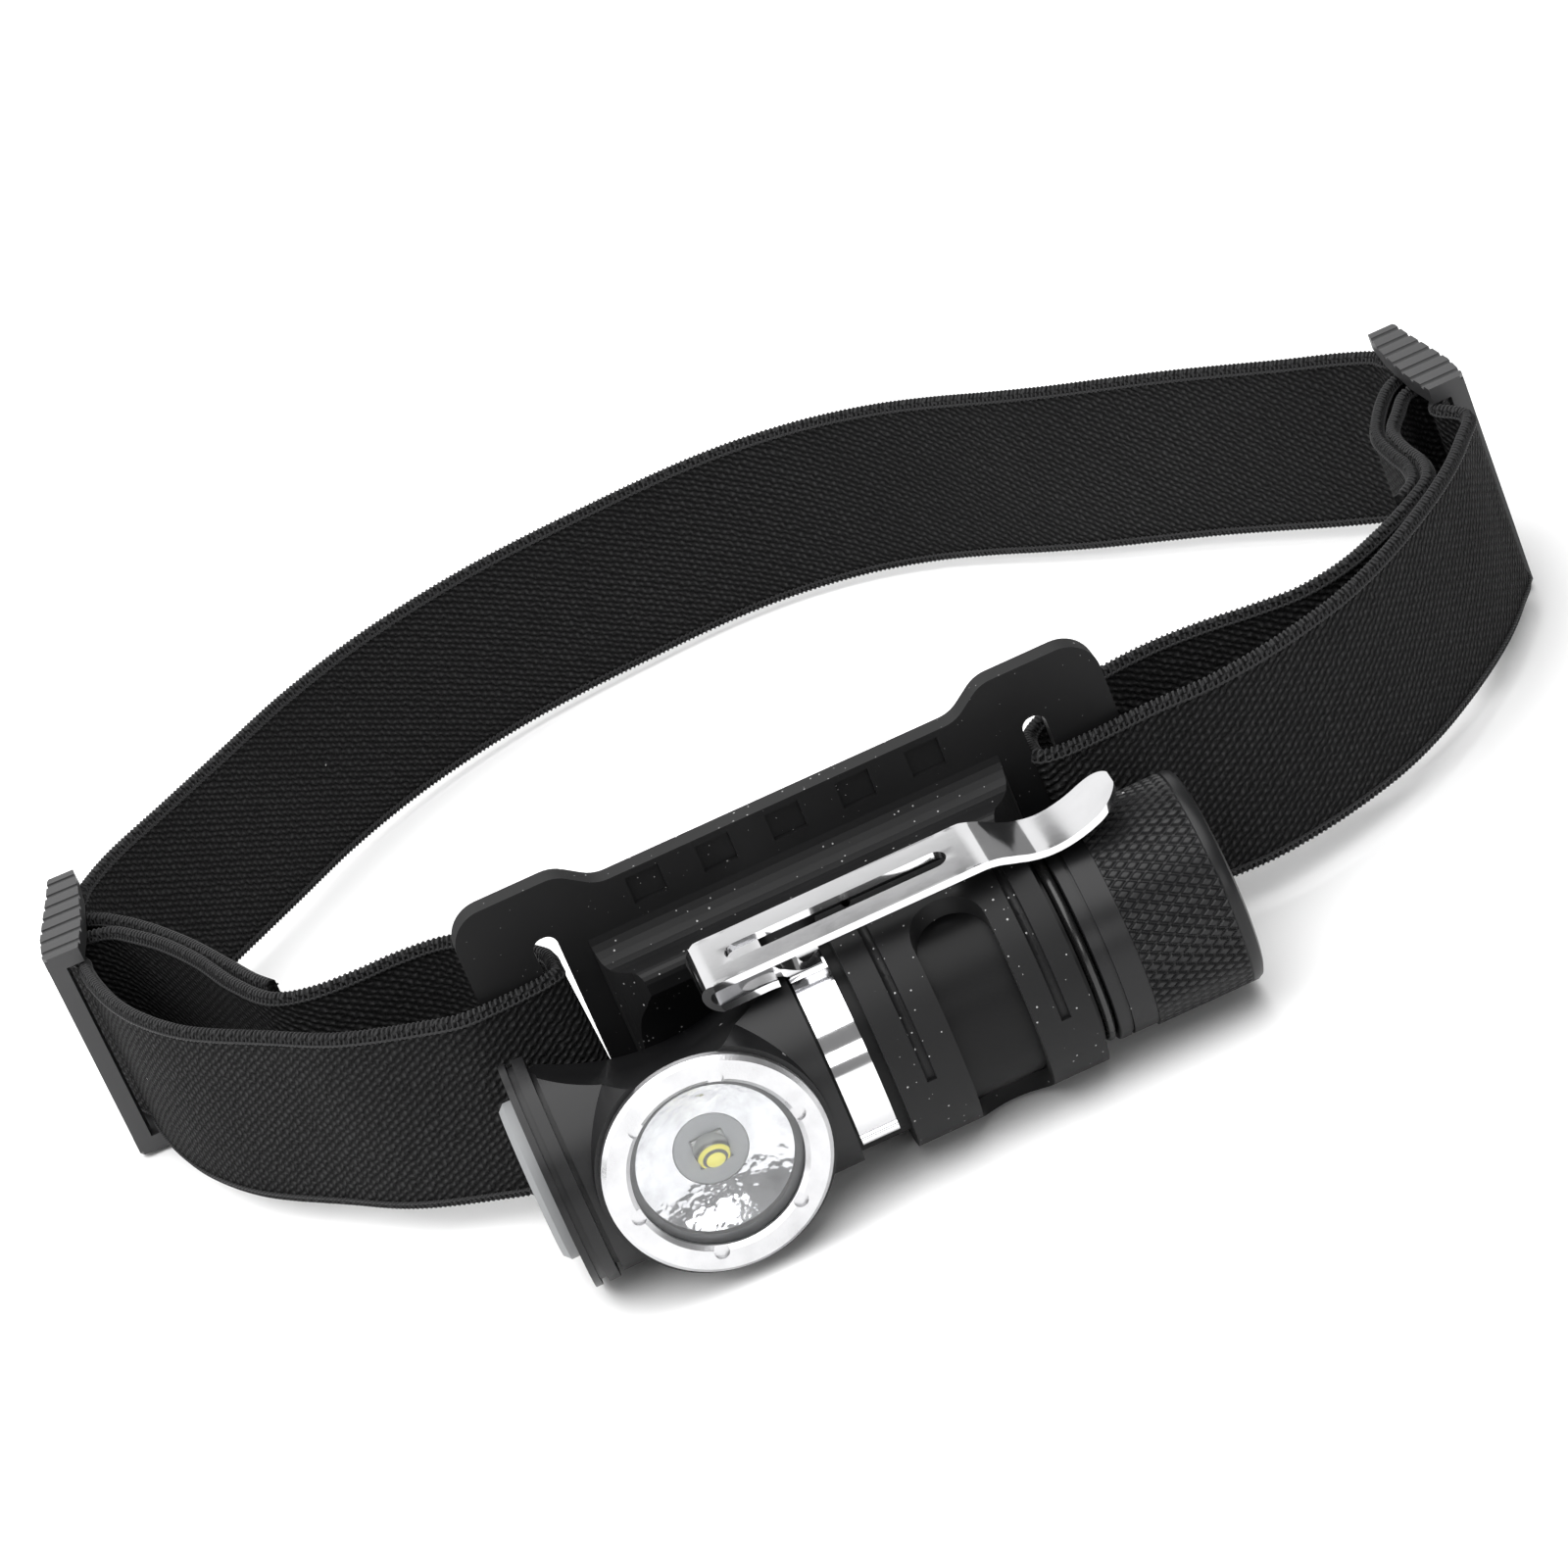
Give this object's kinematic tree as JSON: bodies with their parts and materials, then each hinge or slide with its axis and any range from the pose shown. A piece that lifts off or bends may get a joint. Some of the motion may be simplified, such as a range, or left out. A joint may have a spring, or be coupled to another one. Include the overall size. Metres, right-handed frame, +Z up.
{
  "type": "headlamp",
  "caption": "Right-angle clip-on flashlight held in a silicone cradle on an elastic headband, with a side-facing lens, end button, screw-off tail and spring clip.",
  "frame": {"origin": "centre of the bounding box on the surface it stands on", "axes": "+Z up, the lens faces -Y, the light's long axis lies along X with the tail towards +X"},
  "size_m": [0.1884, 0.165, 0.0399],
  "materials": {
    "holder_silicone": "matte moulded silicone",
    "webbing": "woven elastic webbing",
    "buckle_plastic": "moulded, satin",
    "black_anodised": "black hard anodised",
    "button_silicone": "grey silicone",
    "circuit_board": "green laminate",
    "switch_metal": "tinned steel",
    "bright_aluminium": "turned, satin",
    "grey_gasket": "soft grey silicone",
    "lens_glass": "clear coated glass",
    "reflector_chrome": "smooth plated",
    "led_board_white": "white solder mask on metal",
    "led_phosphor": "yellow phosphor",
    "centring_white": "white plastic",
    "spring_brass": "gold plated",
    "oring_rubber": "greased",
    "cell_wrap": "shrink wrap",
    "cell_steel": "nickel plated",
    "magnet_nickel": "nickel plated",
    "clip_chrome": "polished"
  },
  "bodies": {
    "headband": {"silicone_holder": "holder_silicone", "headband_strap": "webbing", "buckle_left": "buckle_plastic", "buckle_right": "buckle_plastic"},
    "light": {"head_housing": "black_anodised", "switch_retaining_ring": "black_anodised", "switch_board": "circuit_board", "tactile_switch": "switch_metal", "bezel_ring": "bright_aluminium", "lens_gasket": "grey_gasket", "glass_lens": "lens_glass", "reflector": "reflector_chrome", "led_board": "led_board_white", "led_emitter": "led_phosphor", "centring_gasket": "centring_white", "body_tube": "black_anodised", "driver_board": "circuit_board", "driver_spring": "spring_brass", "battery_cell": "cell_wrap", "cell_positive_cap": "cell_steel"},
    "tail": {"tail_cap": "black_anodised", "tail_magnet": "magnet_nickel", "tail_contact_disc": "spring_brass", "tail_spring": "spring_brass", "tail_oring": "oring_rubber"},
    "clip": {"pocket_clip": "clip_chrome"},
    "button": {"switch_button": "button_silicone"}
  },
  "joints": [
    {"name": "light_tilt", "type": "hinge", "parent": "headband", "child": "light", "pos_m": [-0.04711, -0.06658, 0.01433], "axis": [1, 0, 0], "range_deg": [-15, 55]},
    {"name": "tail_unscrew", "type": "hinge", "parent": "light", "child": "tail", "pos_m": [0.02289, -0.06658, 0.01433], "axis": [1, 0, 0], "continuous": true},
    {"name": "clip_swivel", "type": "hinge", "parent": "light", "child": "clip", "pos_m": [-0.01161, -0.06658, 0.01433], "axis": [1, 0, 0], "range_deg": [-10, 10]},
    {"name": "button_press", "type": "slide", "parent": "light", "child": "button", "axis": [1, 0, 0], "range_m": [0, 0.0005], "stiffness_N_per_m": 2000}
  ]
}
